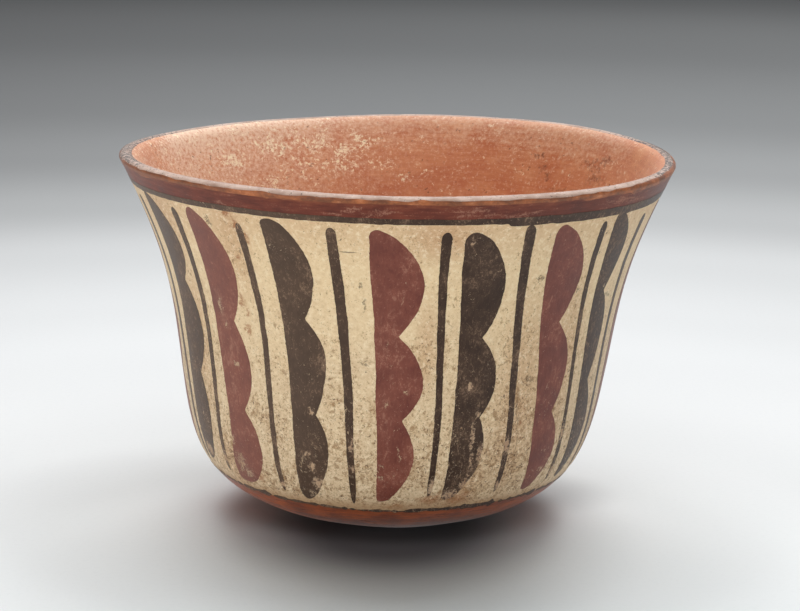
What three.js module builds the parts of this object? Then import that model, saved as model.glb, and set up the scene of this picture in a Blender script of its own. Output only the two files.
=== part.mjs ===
// A hand-built pottery bowl with a round base, a flaring mouth and slip-painted figures.
// Sizes are millimetres and angles are degrees. +Z is up and the front of the bowl faces -Y.
// The bowl rests on z = 0 with its mouth centred over the origin.

import * as THREE from "three";

// Outer form: a flat to rest on, a belly and a flaring lip, joined by one smooth curve
const restingRadius = 16;
const restingRise = 7.4;
const bellyRadius = 62.8;
const bellyHeight = 38.5;
const bellyLean = 9.7;
const lipRadius = 82.5;
const lipHeight = 108.3;
const lipFlare = 26.9;

// The curve's handles: how far it keeps its direction at the resting flat, below and above the belly and
// at the lip, which sets how full the form is there
const restingHandleLength = 34.3;
const lowerHandleLength = 24.7;
const upperHandleLength = 27.7;
const lipHandleLength = 35.9;

// Clay wall, thicker in the floor, and the lip's rounded crest with its inner bevel
const wallThickness = 4.8;
const floorThickness = 7;
const floorSpread = 45;
const crestInset = 2.3;
const crestRise = 1.5;
const bevelDrop = 2.9;

// Hand building: the foot stands a little to one side, the belly sways and the rim dips and rises
const footOffset = 1;
const bellySway = 3;
const rimTilt = 0.6;
const rimSaddle = 0.64;
const saddleTurn = 75;
const rimRipple = 0.13;

// Slip coats
const coatThickness = 0.3;
const coatClearance = 0.3;
const bareRing = 2;

// Bands round the outside. The base line is measured from the floor, the rest downwards from the lip.
const baseLineHeight = 15;
const baseLineWidth = 1.1;
const lipStripHeight = 0.9;
const redBandHeight = 4.9;
const rimLineWidth = 1.8;

// Painted pattern
const figureCount = 18;
const figureTopMargin = 1.3;
const figureFootMargin = 2.4;
const tipWidth = 1.2;
const shoulderHeight = 4;
const shoulderInset = 1.7;
const stripeWidth = 2.3;
const stripeTipWidth = 0.9;
const stripeTopMargin = 2;
const stripeFootMargin = 4;

// The seven figures at the front, from left to right, each painted freehand. edge and stripe give where the
// figure's straight side and the stripe to its right stand, at the top and at the foot, in degrees round from
// the front. reach says how far the lobes and the notches between them stand out from that side, in degrees,
// and level how high they are on the cream ground, in per cent, both from the top lobe down.
const frontFigures = [
  { edge: [-67, -67], reach: [9.9, 6.2, 10.9, 7.1, 9.5], level: [82, 71, 53, 39, 25], stripe: [-53.8, -54.5] },
  { edge: [-49.1, -48.2], reach: [10, 6.5, 10.2, 6.6, 11], level: [79, 61, 43, 30, 15], stripe: [-34.1, -31.9] },
  { edge: [-28.6, -25.8], reach: [9.4, 6.1, 10.4, 6.7, 9.6], level: [80, 65, 51, 33, 20], stripe: [-13.3, -9.9] },
  { edge: [-5.5, -3.2], reach: [11.4, 5.5, 11.3, 6.4, 9.6], level: [78, 62, 45, 33, 19], stripe: [10.5, 11.4] },
  { edge: [14.4, 16], reach: [10.3, 5.9, 10.4, 6.9, 9.1], level: [77, 60, 47, 33, 22], stripe: [28.2, 32.4] },
  { edge: [34.9, 43], reach: [10.4, 5.5, 10, 5.8, 8.4], level: [79, 63, 47, 31, 18], stripe: [48.7, 54.4] },
  { edge: [52, 59], reach: [8.3, 4.2, 8.8, 4.7, 8.4], level: [84, 71, 55, 40, 23], stripe: [66.7, 69.3] },
];

// The usual figure, for those round the back, and how much and how fast the painter's hand wanders there
const usualReach = [10, 5.9, 10.2, 6.4, 9.4];
const usualLevel = [80, 65, 49, 34, 20];
const usualStripeTurn = 4.4;
const usualLean = 2;
const placeVariation = 1.2;
const reachVariation = 0.4;
const levelVariation = 1.5;
const wanderPace = 2.3;

// How finely the curved forms are stepped
const turnSteps = 40;
const baseSteps = 4;
const groundSteps = 12;
const insideSteps = 10;
const lipSteps = 5;
const bandSteps = 2;
const stripeSteps = 10;
const figureColumns = 2;
const lobeSteps = 2;
const tipSteps = 4;
const footCrowding = 1.4;
const shareAccuracy = 1e-9;

const claySurface = -(coatThickness + coatClearance);
const groundSurface = 0;
const figureSurface = coatClearance + coatThickness;
const crestHeight = lipHeight + crestRise;
const bandTopHeight = lipHeight - lipStripHeight;
const rimLineHeight = bandTopHeight - redBandHeight;

const slip = (color, roughness) => new THREE.MeshStandardMaterial({ color, roughness, metalness: 0 });
const bareClay = slip("#b49c86", 0.8);
const orangeSlip = slip("#b3623f", 0.45);
const creamSlip = slip("#d6bd93", 0.6);
const darkRedSlip = slip("#7a4035", 0.5);
const blackSlip = slip("#4a382f", 0.5);

const bowl = new THREE.Group();

function direction(fromLevel, length) {
  const angle = THREE.MathUtils.degToRad(fromLevel);
  return new THREE.Vector2(Math.cos(angle), Math.sin(angle)).multiplyScalar(length);
}

// The outer profile, from the edge of the resting flat up to the lip
const restingEdge = new THREE.Vector2(restingRadius, 0);
const belly = new THREE.Vector2(bellyRadius, bellyHeight);
const lip = new THREE.Vector2(lipRadius, lipHeight);
const profile = new THREE.CurvePath();
profile.add(
  new THREE.CubicBezierCurve(
    restingEdge,
    restingEdge.clone().add(direction(restingRise, restingHandleLength)),
    belly.clone().sub(direction(90 - bellyLean, lowerHandleLength)),
    belly,
  ),
);
profile.add(
  new THREE.CubicBezierCurve(
    belly,
    belly.clone().add(direction(90 - bellyLean, upperHandleLength)),
    lip.clone().sub(direction(90 - lipFlare, lipHandleLength)),
    lip,
  ),
);
const profileLength = profile.getLength();

// Places along the profile are shares of its length, 0 at the resting flat and 1 at the lip.
// This finds the share where a height that rises along the profile reaches a given one.
function shareWhere(heightOf, height) {
  let low = 0;
  let high = 1;
  while (high - low > shareAccuracy) {
    const middle = (low + high) / 2;
    if (heightOf(middle) < height) low = middle;
    else high = middle;
  }
  return (low + high) / 2;
}

const shareAt = (height) => shareWhere((share) => profile.getPoint(share).y, height);

// A point on the wall, depth millimetres outside the finished surface, as radius and height
function wallPoint(share, depth) {
  const tangent = profile.getTangent(share);
  const outward = new THREE.Vector2(tangent.y, -tangent.x);
  return profile.getPoint(share).addScaledVector(outward, depth);
}

// The same on the inside, where the wall thickens smoothly towards the floor
function innerPoint(share, depth) {
  const inFloor = 1 - THREE.MathUtils.smoothstep(share * profileLength, 0, floorSpread);
  const thickness = THREE.MathUtils.lerp(wallThickness, floorThickness, inFloor);
  return wallPoint(share, -thickness - depth);
}

// Evenly spaced shares from one to another, drawn together near the foot where crowding is over 1
function sharesBetween(from, to, steps, crowding = 1) {
  return Array.from({ length: steps + 1 }, (_, i) => THREE.MathUtils.lerp(from, to, (i / steps) ** crowding));
}

// Shifts each point from the true turned form to the uneven one that the potter's hand left
function shapeByHand(geometry) {
  const position = geometry.attributes.position;
  for (let i = 0; i < position.count; i += 1) {
    const x = position.getX(i);
    const z = position.getZ(i);
    const angle = Math.atan2(x, -position.getY(i));
    const rise = z / crestHeight;
    const saddle = rimSaddle * Math.cos(2 * angle + THREE.MathUtils.degToRad(saddleTurn));
    const wave = rimTilt * Math.sin(angle) + saddle + rimRipple * Math.sin(3 * angle);
    position.setX(i, x - footOffset * (1 - rise) + bellySway * rise * (1 - rise));
    position.setZ(i, z + wave * rise ** 3);
  }
  geometry.computeVertexNormals();
  return geometry;
}

function addPiece(name, geometry, material) {
  const piece = new THREE.Mesh(shapeByHand(geometry), material);
  piece.name = name;
  bowl.add(piece);
}

// A full turn of a profile that closes on itself or starts and ends on the axis
function turned(points) {
  return new THREE.LatheGeometry(points, turnSteps).rotateX(Math.PI / 2);
}

// A coat that goes all the way round, on the outside of the wall
function ringCoat(shares, surface) {
  const outside = shares.map((share) => wallPoint(share, surface));
  const inside = shares.map((share) => wallPoint(share, surface - coatThickness)).reverse();
  return turned([...outside, ...inside, outside[0].clone()]);
}

// Borders of the coats along the profile
const clearanceShare = coatClearance / profileLength;
const bareEdge = bareRing / profileLength;
const baseBorder = shareAt(baseLineHeight);
const bandBorder = shareAt(rimLineHeight);
const bandTop = shareAt(bandTopHeight);

const baseShares = sharesBetween(bareEdge, baseBorder - clearanceShare, baseSteps);
const groundShares = sharesBetween(baseBorder, bandBorder - clearanceShare, groundSteps, footCrowding);
const bandShares = sharesBetween(bandBorder, bandTop - clearanceShare, bandSteps);
const lipShares = [bandTop, 1 - clearanceShare];

// The lip rolls from its outer edge over the crest to the top of the inner wall
const crest = new THREE.Vector2(lipRadius - crestInset, crestHeight);
const bevelShare = shareWhere((share) => innerPoint(share, 0).y, crestHeight - bevelDrop);
const lipRoll = new THREE.SplineCurve([lip, crest, innerPoint(bevelShare, 0)]).getPoints(lipSteps);

const insideShares = sharesBetween(bareEdge, bevelShare - clearanceShare, insideSteps, footCrowding);

// Bare clay, flush with the coats at the resting flat and the lip, and stepped in where they cover it
function clayBody() {
  const restingFlat = [new THREE.Vector2(0, 0), restingEdge, profile.getPoint(bareEdge - clearanceShare)];
  const outerShares = [bareEdge - clearanceShare, ...baseShares, ...groundShares, ...bandShares, ...lipShares];
  const outside = outerShares.map((share) => wallPoint(share, claySurface));
  const inside = insideShares.map((share) => innerPoint(share, claySurface)).reverse();
  const floorMiddle = new THREE.Vector2(0, inside.at(-1).y);
  return turned([...restingFlat, ...outside, ...lipRoll, ...inside, floorMiddle]);
}

// The coat of the inside, closed over the middle of the floor
function insideCoat() {
  const under = insideShares.map((share) => innerPoint(share, -coatThickness));
  const shown = insideShares.map((share) => innerPoint(share, 0)).reverse();
  const middleUnder = new THREE.Vector2(0, under[0].y);
  const middleShown = new THREE.Vector2(0, shown.at(-1).y);
  return turned([middleUnder, ...under, ...shown, middleShown]);
}

addPiece("clay_body", clayBody(), bareClay);
addPiece("inside_slip", insideCoat(), orangeSlip);
addPiece("base_slip", ringCoat(baseShares, groundSurface), orangeSlip);
addPiece("cream_ground", ringCoat(groundShares, groundSurface), creamSlip);
addPiece("dark_red_rim_band", ringCoat(bandShares, groundSurface), darkRedSlip);
addPiece("lip_slip", ringCoat(lipShares, groundSurface), orangeSlip);

function lineRound(height, width) {
  return ringCoat([shareAt(height - width / 2), shareAt(height), shareAt(height + width / 2)], figureSurface);
}

addPiece("black_base_line", lineRound(baseLineHeight, baseLineWidth), blackSlip);
addPiece("black_rim_line", lineRound(rimLineHeight, rimLineWidth), blackSlip);

// A thin patch of paint that follows the wall. sides gives, from the foot up, each row's share of the profile
// and the degrees at which the patch starts and ends there.
function brushed(sides, columns) {
  const corners = [];
  for (const surface of [figureSurface, figureSurface - coatThickness]) {
    for (const { share, left, right } of sides) {
      const { x: radius, y: height } = wallPoint(share, surface);
      for (let column = 0; column <= columns; column += 1) {
        const angle = THREE.MathUtils.degToRad(THREE.MathUtils.lerp(left, right, column / columns));
        corners.push(radius * Math.sin(angle), -radius * Math.cos(angle), height);
      }
    }
  }
  const rows = sides.length - 1;
  const corner = (face, row, column) => (face * (rows + 1) + row) * (columns + 1) + column;
  const triangles = [];
  const quad = (a, b, c, d) => triangles.push(a, b, c, a, c, d);
  for (let row = 0; row < rows; row += 1) {
    for (let column = 0; column < columns; column += 1) {
      const around = [[row, column], [row, column + 1], [row + 1, column + 1], [row + 1, column]];
      quad(...around.map(([r, c]) => corner(0, r, c)));
      quad(...around.map(([r, c]) => corner(1, r, c)).reverse());
    }
    quad(corner(0, row, 0), corner(0, row + 1, 0), corner(1, row + 1, 0), corner(1, row, 0));
    quad(corner(0, row + 1, columns), corner(0, row, columns), corner(1, row, columns), corner(1, row + 1, columns));
  }
  for (let column = 0; column < columns; column += 1) {
    quad(corner(0, 0, column + 1), corner(0, 0, column), corner(1, 0, column), corner(1, 0, column + 1));
    quad(corner(0, rows, column), corner(0, rows, column + 1), corner(1, rows, column + 1), corner(1, rows, column));
  }
  const patch = new THREE.BufferGeometry();
  patch.setAttribute("position", new THREE.Float32BufferAttribute(corners, 3));
  patch.setIndex(triangles);
  return patch;
}

const groundFoot = baseLineHeight + baseLineWidth / 2;
const groundTop = rimLineHeight - rimLineWidth / 2;

// Degrees of turn that a width takes up at some height of the wall
function degreesAcross(width, height) {
  return THREE.MathUtils.radToDeg(width / profile.getPoint(shareAt(height)).x);
}

// A figure: one nearly straight side, and three lobes on the other that swell between its notches and tips.
// Its corners lie closest together at the rounded tips.
function figure({ edge, reach, level }) {
  const foot = groundFoot + figureFootMargin;
  const top = groundTop - figureTopMargin;
  const tip = degreesAcross(shoulderInset + tipWidth, top);
  const heights = [top, ...level.map((share) => THREE.MathUtils.lerp(groundFoot, groundTop, share / 100)), foot];
  const reaches = [tip, ...reach, tip];

  function sideAt(height, out) {
    const straight = THREE.MathUtils.mapLinear(height, foot, top, edge[1], edge[0]);
    const fromTip = Math.min(top - height, height - foot, shoulderHeight) / shoulderHeight;
    const inset = degreesAcross(shoulderInset, height) * (1 - Math.sqrt(1 - (1 - fromTip) ** 2));
    return { share: shareAt(height), left: straight + inset, right: straight + out };
  }

  const sides = [sideAt(top, tip)];
  for (let span = 1; span < heights.length; span += 1) {
    const fromTop = span === 1;
    const toFoot = span === heights.length - 1;
    const towardsLobe = span % 2 === 1;
    const steps = fromTop || toFoot ? tipSteps : lobeSteps;
    for (let step = 1; step <= steps; step += 1) {
      const turn = (Math.PI / 2) * (step / steps);
      let done = step / steps;
      if (fromTop) done = 1 - Math.cos(turn);
      if (toFoot) done = Math.sin(turn);
      const fromLobe = towardsLobe ? 1 - done : done;
      const lobe = towardsLobe ? span : span - 1;
      const end = towardsLobe ? span - 1 : span;
      const height = THREE.MathUtils.lerp(heights[span - 1], heights[span], done);
      sides.push(sideAt(height, THREE.MathUtils.lerp(reaches[lobe], reaches[end], fromLobe ** 2)));
    }
  }
  return brushed(sides.reverse(), figureColumns);
}

// A thin stripe, drawn in one pull of the brush, narrow where it starts and ends
function stripe([topAngle, footAngle]) {
  const foot = groundFoot + stripeFootMargin;
  const top = groundTop - stripeTopMargin;
  const shares = sharesBetween(shareAt(foot), shareAt(top), stripeSteps, footCrowding);
  const sides = shares.map((share, i) => {
    const { x: radius, y: height } = profile.getPoint(share);
    const width = i === 0 || i === stripeSteps ? stripeTipWidth : stripeWidth;
    const middle = THREE.MathUtils.mapLinear(height, foot, top, footAngle, topAngle);
    const half = THREE.MathUtils.radToDeg(width / 2 / radius);
    return { share, left: middle - half, right: middle + half };
  });
  return brushed(sides, 1);
}

// Round the back the figures divide what is left of the turn evenly, but for the wander of the hand
function backFigure(place) {
  const first = frontFigures[0].edge;
  const last = frontFigures.at(-1).edge;
  const gaps = figureCount - frontFigures.length + 1;
  const wander = (trait) => Math.sin(place * wanderPace + trait);
  const middle = THREE.MathUtils.lerp((last[0] + last[1]) / 2, (first[0] + first[1]) / 2 + 360, place / gaps);
  const top = middle - usualLean / 2 + placeVariation * wander(0);
  const foot = middle + usualLean / 2 + placeVariation * wander(1);
  const clear = Math.max(...usualReach) + usualStripeTurn;
  return {
    edge: [top, foot],
    reach: usualReach.map((reach, i) => reach + reachVariation * wander(i)),
    level: usualLevel.map((level, i) => level + levelVariation * wander(i)),
    stripe: [top + clear, foot + clear],
  };
}

const figures = [...frontFigures];
while (figures.length < figureCount) figures.push(backFigure(figures.length - frontFigures.length + 1));

figures.forEach((shape, i) => {
  const isBlack = i % 2 === 0;
  const number = Math.floor(i / 2) + 1;
  addPiece(`${isBlack ? "black" : "red"}_figure_${number}`, figure(shape), isBlack ? blackSlip : darkRedSlip);
  addPiece(`black_stripe_${i + 1}`, stripe(shape.stripe), blackSlip);
});

export default bowl;
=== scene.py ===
# %% [markdown]
# # A painted pottery bowl
# A bowl of low-fired clay with a flaring mouth, raised by hand and about 165 mm across. Its wall carries a
# cream slip, and on the cream lie eighteen scalloped figures, dark red and black in turn, with a thin black
# stripe after each one. Slip is clay thinned with water, so the real bowl is one body under a few skins,
# each no thicker than a tenth of a millimetre. This lesson builds those skins as closed meshes round the
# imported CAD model, and then gives each one its worn, fired finish.

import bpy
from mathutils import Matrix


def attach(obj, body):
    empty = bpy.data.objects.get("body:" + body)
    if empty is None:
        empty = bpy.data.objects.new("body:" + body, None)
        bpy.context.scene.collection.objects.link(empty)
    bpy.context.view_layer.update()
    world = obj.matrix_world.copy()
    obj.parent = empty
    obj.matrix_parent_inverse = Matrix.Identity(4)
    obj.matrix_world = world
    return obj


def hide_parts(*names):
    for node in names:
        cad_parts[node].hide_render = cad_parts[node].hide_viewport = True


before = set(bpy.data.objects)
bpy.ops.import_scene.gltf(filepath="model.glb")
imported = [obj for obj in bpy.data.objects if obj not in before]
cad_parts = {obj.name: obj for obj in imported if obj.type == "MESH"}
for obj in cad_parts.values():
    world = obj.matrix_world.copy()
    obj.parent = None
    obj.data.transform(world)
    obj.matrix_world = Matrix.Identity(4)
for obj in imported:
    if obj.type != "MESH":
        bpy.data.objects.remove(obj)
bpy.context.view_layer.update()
print("CAD nodes:", len(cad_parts))

# %% [markdown]
# ## The camera
# The bowl is seen from a little above its mouth, from far enough away that its sides hardly converge, so
# the lens is long. The camera also leans by a degree or so. Blender's own angles would hide that, so the
# camera is placed by its three axes: where it looks, and what is right and up in the picture. Its distances
# are in metres and its angles in radians.

# %% Camera
import bpy
import numpy as np
from mathutils import Matrix, Vector

LOOK_AT = Vector((0.00175, 0, 0.06294))
LOOK_DOWN = 0.2082
LEAN = 0.0235
DISTANCE = 0.8
LENS = 119.25
SENSOR_WIDTH = 36

ahead = Vector((0, np.cos(LOOK_DOWN), -np.sin(LOOK_DOWN)))
level_right = Vector((1, 0, 0))
level_up = level_right.cross(ahead)
right = np.cos(LEAN) * level_right + np.sin(LEAN) * level_up
up = np.cos(LEAN) * level_up - np.sin(LEAN) * level_right
axes = Matrix((right, up, -ahead)).transposed().to_4x4()

camera = bpy.data.objects.new("camera", bpy.data.cameras.new("camera"))
camera.data.lens = LENS
camera.data.sensor_width = SENSOR_WIDTH
camera.matrix_world = Matrix.Translation(LOOK_AT - DISTANCE * ahead) @ axes
bpy.context.scene.collection.objects.link(camera)
bpy.context.scene.camera = camera
print("camera height above the floor:", round(camera.matrix_world.translation.z, 3), "m")

# %% [markdown]
# ## The form of the wall
# The clay was smoothed while it turned slowly, so the form is nearly a solid of revolution. A lathe would
# make it, but every coat and every brush mark has to lie on the same uneven wall. So the wall is a formula:
# a place along one profile, which runs from the resting flat up the outside, over the lip and down the
# inside, and an angle round from the front give one point. Two smooth curves that meet at the belly draw
# the outside. Each sets out from one point with a pull in one direction and comes in to the next with
# another.

# %% The profile, in millimetres
RESTING_EDGE = np.array([16.0, 0.0])
BELLY = np.array([62.8, 38.5])
LIP = np.array([82.5, 108.3])
CREST = np.array([80.2, 109.8])
FOOT_SLOPE = 7.4
BELLY_SLOPE = 80.3
LIP_SLOPE = 63.1
FOOT_PULL = 34.3
BELLY_PULL_BELOW = 24.7
BELLY_PULL_ABOVE = 27.7
LIP_PULL = 35.9
WALL = 4.8
FLOOR = 7.0
FLOOR_SPREAD = 45.0


def heading(degrees, length):
    angle = np.radians(degrees)
    return length * np.array([np.cos(angle), np.sin(angle)])


def curve(start, start_handle, end_handle, end, steps=600):
    t = np.linspace(0, 1, steps + 1)[:, None]
    ends = (1 - t) ** 3 * start + t**3 * end
    return ends + 3 * (1 - t) ** 2 * t * (start + start_handle) + 3 * (1 - t) * t**2 * (end - end_handle)


def lengths(points):
    return np.concatenate([[0], np.cumsum(np.hypot(*np.diff(points, axis=0).T))])


def outward(points):
    tangent = np.gradient(points, lengths(points), axis=0)
    tangent /= np.linalg.norm(tangent, axis=1, keepdims=True)
    return np.stack([tangent[:, 1], -tangent[:, 0]], axis=1)


def ease(value, low, high):
    t = np.clip((value - low) / (high - low), 0, 1)
    return t * t * (3 - 2 * t)


lower_wall = curve(
    RESTING_EDGE, heading(FOOT_SLOPE, FOOT_PULL), heading(BELLY_SLOPE, BELLY_PULL_BELOW), BELLY
)
upper_wall = curve(BELLY, heading(BELLY_SLOPE, BELLY_PULL_ABOVE), heading(LIP_SLOPE, LIP_PULL), LIP)
outside = np.vstack([lower_wall, upper_wall[1:]])
thickness = FLOOR - (FLOOR - WALL) * ease(lengths(outside), 0, FLOOR_SPREAD)
inside = outside - outward(outside) * thickness[:, None]
print("profile length:", round(lengths(outside)[-1], 1), "mm")

# %% [markdown]
# The lip is a soft roll with a flat worn bevel on its inner side. The inside then runs down to a floor that
# dips a little towards its middle.

# %% The lip, the floor and the whole profile
BEVEL_DROP = 2.9
ROLL_START = 70
LEVEL_INWARD = 180
ROLL_STEPS = 60
FLAT_STEPS = 30
FLOOR_STEPS = 40

inside = inside[inside[:, 1] < CREST[1] - BEVEL_DROP][::-1]
bevel = inside[0]
roll_out = curve(LIP, heading(ROLL_START, 1.0), heading(LEVEL_INWARD, 1.1), CREST, ROLL_STEPS)
roll_in = curve(CREST, heading(LEVEL_INWARD, 1.2), heading(LIP_SLOPE + 180, 1.5), bevel, ROLL_STEPS)

floor_edge = inside[-1]
floor_radius = np.linspace(floor_edge[0], 0, FLOOR_STEPS)
floor_dip = floor_edge[0] * np.tan(np.radians(FOOT_SLOPE)) / 2
floor_height = floor_edge[1] - floor_dip * (1 - (floor_radius / floor_edge[0]) ** 2)
floor = np.stack([floor_radius, floor_height], axis=1)
resting_flat = np.stack([np.linspace(0, RESTING_EDGE[0], FLAT_STEPS), np.zeros(FLAT_STEPS)], axis=1)

profile = np.vstack([resting_flat, outside[1:], roll_out[1:], roll_in[1:], inside[1:], floor[1:]])
places = lengths(profile) - RESTING_EDGE[0]
profile_outward = outward(profile)

LIP_EDGE = lengths(outside)[-1]
CREST_PLACE = LIP_EDGE + lengths(roll_out)[-1]
BEVEL_PLACE = CREST_PLACE + lengths(roll_in)[-1]
FLOOR_MIDDLE = places[-1]
print("places: lip", round(LIP_EDGE, 1), "bevel", round(BEVEL_PLACE, 1), "floor", round(FLOOR_MIDDLE, 1))

# %% [markdown]
# A hand-built wall is never quite true. The foot stands a little to one side, the rim dips and rises, broad
# shallow dents go round the wall, and the lip has lost small nicks. All of it is in one function, so that
# every skin follows it. The dents fade out at the resting flat, which stays level.

# %% The uneven wall
FOOT_OFFSET = 1.0
BELLY_SWAY = 3.0
RIM_TILT = 0.6
RIM_SADDLE = 0.64
SADDLE_TURN = np.radians(75)
RIM_RIPPLE = 0.13
NICK_DEPTH = 0.35
NICK_WIDTH = 0.9
NICKS_FROM = 0.55
DENT_COUNT = 14

dents = np.random.default_rng(11)
dent_turns = dents.integers(2, 10, DENT_COUNT)
dent_pace = dents.uniform(0.02, 0.1, DENT_COUNT)
dent_start = dents.uniform(0, 2 * np.pi, DENT_COUNT)
dent_size = dents.normal(0, 0.03, DENT_COUNT)


def wander(where, seed, count=997):
    """A value of about -1 to 1 that wanders as a hand does, with a new aim at each whole step of where."""
    aims = np.random.default_rng(seed).normal(0, 0.5, count)
    whole = np.floor(where).astype(int)
    part = ease(where - whole, 0, 1)
    return aims[whole % count] * (1 - part) + aims[(whole + 1) % count] * part


def round_the_bowl(angle, seed, steps):
    """The same, in a whole number of steps round the bowl, so that it meets its own start."""
    return wander(angle / (2 * np.pi) * steps, seed, steps)


def unevenness(place, angle):
    shallow = sum(
        size * np.cos(turns * angle + pace * place + start)
        for turns, pace, start, size in zip(dent_turns, dent_pace, dent_start, dent_size)
    )
    fade = ease(place, 0, 25) * ease(FLOOR_MIDDLE - place, 0, 30)
    near_crest = np.exp(-(((place - CREST_PLACE) / NICK_WIDTH) ** 2))
    nicks = np.clip(round_the_bowl(angle, 5, 420) - NICKS_FROM, 0, 1) * near_crest
    return shallow * fade - NICK_DEPTH * nicks


def wall_point(place, angle, depth=0.0):
    """The point at a place along the profile and an angle round it, depth mm outside the finished surface."""
    depth = depth + unevenness(place, angle)
    radius = np.interp(place, places, profile[:, 0]) + depth * np.interp(place, places, profile_outward[:, 0])
    height = np.interp(place, places, profile[:, 1]) + depth * np.interp(place, places, profile_outward[:, 1])
    radius = np.maximum(radius, 0)
    rise = height / CREST[1]
    tilt = RIM_TILT * np.sin(angle)
    saddle = RIM_SADDLE * np.cos(2 * angle + SADDLE_TURN)
    wave = tilt + saddle + RIM_RIPPLE * np.sin(3 * angle)
    x = radius * np.sin(angle) - FOOT_OFFSET * (1 - rise) + BELLY_SWAY * rise * (1 - rise)
    return np.stack([x, -radius * np.cos(angle), height + wave * rise**3], axis=-1)


def place_at(height):
    return np.interp(height, outside[:, 1], lengths(outside))


def radius_at(height):
    return np.interp(height, outside[:, 1], outside[:, 0])


print("dents up to", round(float(np.abs(dent_size).sum()), 2), "mm")

# %% [markdown]
# ## Skins
# A coat of slip is a thin sheet with a front, a back and an edge. Two grids of points give the front and
# the back, and the edge joins them, so each coat is a closed solid. A coat that goes all the way round has
# two edges, and a single brush mark has one that runs right round it. Doubled points, such as those on the
# axis, are welded afterwards. Then each piece is hung on the root body, and the CAD parts that it stands
# for are hidden.

# %% From grids of points to closed skins
import bmesh

MM = 0.001
DOUBLED = 1e-7
NO_LENGTH = 1e-8
SHARP_FROM = np.radians(50)


def add_piece(name, points, quads, nodes):
    mesh = bpy.data.meshes.new(name)
    mesh.from_pydata((points.reshape(-1, 3) * MM).tolist(), [], quads.tolist())
    weld = bmesh.new()
    weld.from_mesh(mesh)
    bmesh.ops.remove_doubles(weld, verts=weld.verts, dist=DOUBLED)
    bmesh.ops.dissolve_degenerate(weld, edges=weld.edges, dist=NO_LENGTH)
    weld.to_mesh(mesh)
    weld.free()
    mesh.shade_smooth()
    mesh.set_sharp_from_angle(angle=SHARP_FROM)
    piece = bpy.data.objects.new(name, mesh)
    bpy.context.scene.collection.objects.link(piece)
    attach(piece, "root")
    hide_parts(*nodes)
    return piece


def grid_quads(index):
    corners = [index[:-1, :-1], index[:-1, 1:], index[1:, 1:], index[1:, :-1]]
    return np.stack(corners, axis=-1).reshape(-1, 4)


def skin_quads(rows, columns, closed, first=0):
    """The faces of a skin whose front points come first and whose back points follow in the same order."""
    front = np.arange(rows * columns).reshape(rows, columns) + first
    if closed:
        front = np.hstack([front, front[:, :1]])
        edges = [front[0], front[-1, ::-1]]
    else:
        edges = [np.concatenate([front[0, :-1], front[:-1, -1], front[-1, :0:-1], front[::-1, 0]])]
    back = rows * columns
    walls = [np.stack([edge[1:], edge[:-1], edge[:-1] + back, edge[1:] + back], axis=-1) for edge in edges]
    faces = grid_quads(front)
    return np.vstack([faces, faces[:, ::-1] + back, *walls])


def turn_angles(count):
    return np.linspace(-np.pi, np.pi, count, endpoint=False)


def ring(name, low, high, depths, rows, node):
    """A coat that goes all the way round, from one border's places to the other's, given at each angle."""
    angles = turn_angles(len(low))
    share = np.linspace(0, 1, rows)[:, None]
    place = low * (1 - share) + high * share
    grids = [wall_point(place, angles[None], depth) for depth in depths]
    return add_piece(name, np.stack(grids), skin_quads(rows, len(low), True), [node])


print("faces of a skin of 3 by 5 points:", len(skin_quads(3, 5, False)))

# %% [markdown]
# ## The clay
# The body is one solid of fired clay. It lies a little under its coats, and comes up flush with them where
# it is bare: on the flat that the bowl rests on, and on the crest of the lip, where use has worn the slip
# away. The crest is worn widest at the front and least at the right end of the mouth.

# %% The clay body
ROUND_STEPS = 480
COATED = -0.12
BARE = 0.0
CREST_WEAR = 0.25
FRONT_WEAR = 0.65
RIGHT_END = 82
RIGHT_END_REACH = 26
RIGHT_END_SPARED = 0.75

angles = turn_angles(ROUND_STEPS)
right_end = np.exp(-(((np.degrees(angles) - RIGHT_END) / RIGHT_END_REACH) ** 2))
crest_worn_to = CREST_PLACE + CREST_WEAR + FRONT_WEAR * np.cos(angles) - RIGHT_END_SPARED * right_end
body_places = np.concatenate([
    np.linspace(-RESTING_EDGE[0], 0, 8)[:-1],
    np.linspace(0, LIP_EDGE, 90)[:-1],
    np.linspace(LIP_EDGE, BEVEL_PLACE, 26)[:-1],
    np.linspace(BEVEL_PLACE, FLOOR_MIDDLE, 80),
])
body_places = body_places[:, None]
bare_flat = 1 - ease(body_places, 0.5, 2.5)
past_the_lip = ease(body_places, LIP_EDGE - 0.3, LIP_EDGE + 0.9)
before_the_inside = ease(crest_worn_to - body_places, -1.4, -0.6)
body_depth = COATED + (BARE - COATED) * (bare_flat + past_the_lip * before_the_inside)
body_points = wall_point(body_places, angles[None], body_depth)
body_index = np.arange(body_points[..., 0].size).reshape(body_points.shape[:2])
body_quads = grid_quads(np.hstack([body_index, body_index[:, :1]]))
clay_body = add_piece("fired_clay_body", body_points, body_quads, ["clay_body"])
print("clay body faces:", len(clay_body.data.polygons))

# %% [markdown]
# ## The coats
# Each coat was brushed or wiped on, so its borders wander. The base slip runs on under the cream, the cream
# ends in a ragged edge near the foot, the dark red band covers its top, and an orange strip laps over the
# lip, thick enough to have run down in a few drips before it dried.

# %% Borders of the coats
BASE_LINE = 15.1
BASE_LINE_SAG = 1.0
RIM_LINE = 102.5
BAND_TOP = 107.65


def base_line_height(angle):
    return BASE_LINE - BASE_LINE_SAG * np.cos(2 * angle)


def level(place):
    """A border that stays at one place all the way round."""
    return np.full_like(angles, place)


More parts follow.
